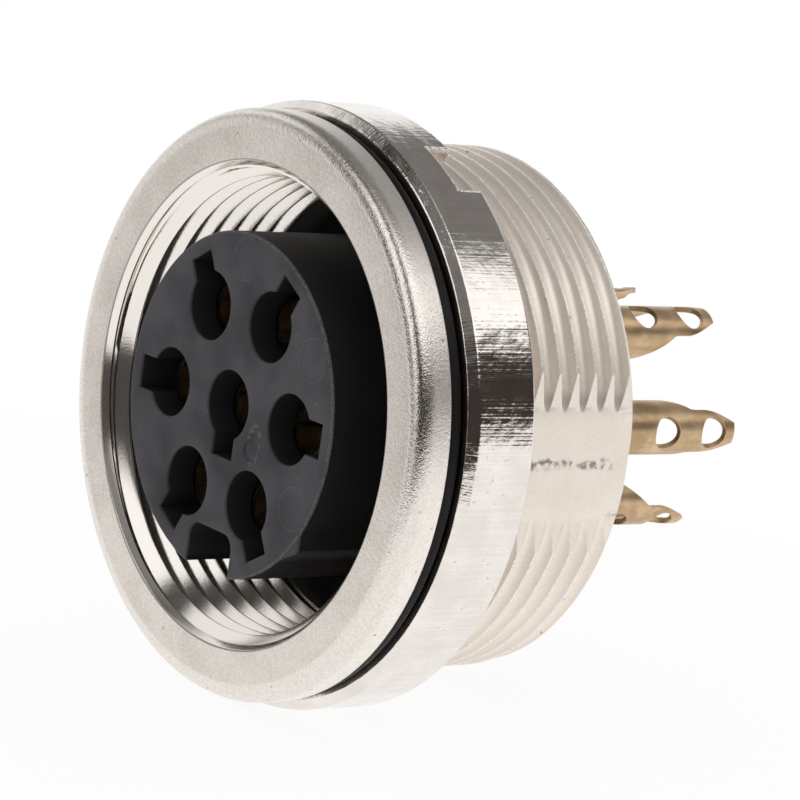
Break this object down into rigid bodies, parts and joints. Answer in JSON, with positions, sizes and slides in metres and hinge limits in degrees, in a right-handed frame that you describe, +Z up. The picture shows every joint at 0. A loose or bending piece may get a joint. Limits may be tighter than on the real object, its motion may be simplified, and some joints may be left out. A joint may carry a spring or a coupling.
{
  "type": "din connector",
  "caption": "Round panel receptacle with a threaded metal shell, keyed socket insert, gilt solder contacts, rubber seal and slotted ring nut.",
  "frame": {"origin": "on the connector's axis, in the seat plane where the flange ends and the shank begins", "axes": "+Y along the axis from the mating face to the solder tails, +Z up with the keyway below, +X to the right seen from the mating face"},
  "size_m": [0.0203, 0.0188, 0.0202],
  "materials": {
    "cast_nickel": "satin nickel plate on a zinc casting",
    "turned_nickel": "bright nickel plate on turned brass",
    "seal_rubber": "matt black rubber",
    "insert_plastic": "moulded black plastic with a slight sheen",
    "spring_steel": "bright spring steel",
    "contact_gold": "thin gilt on bronze sheet"
  },
  "bodies": {
    "receptacle": {"shell": "cast_nickel", "sealing_ring": "seal_rubber", "insert": "insert_plastic", "retaining_ring": "spring_steel", "contact_1": "contact_gold", "contact_2": "contact_gold", "contact_3": "contact_gold", "contact_4": "contact_gold", "contact_5": "contact_gold", "contact_6": "contact_gold", "contact_7": "contact_gold"},
    "nut": {"ring_nut": "turned_nickel"}
  },
  "joints": [
    {"name": "nut_travel", "type": "slide", "parent": "receptacle", "child": "nut", "axis": [0, 1, 0], "range_m": [0, 0.0073]}
  ]
}
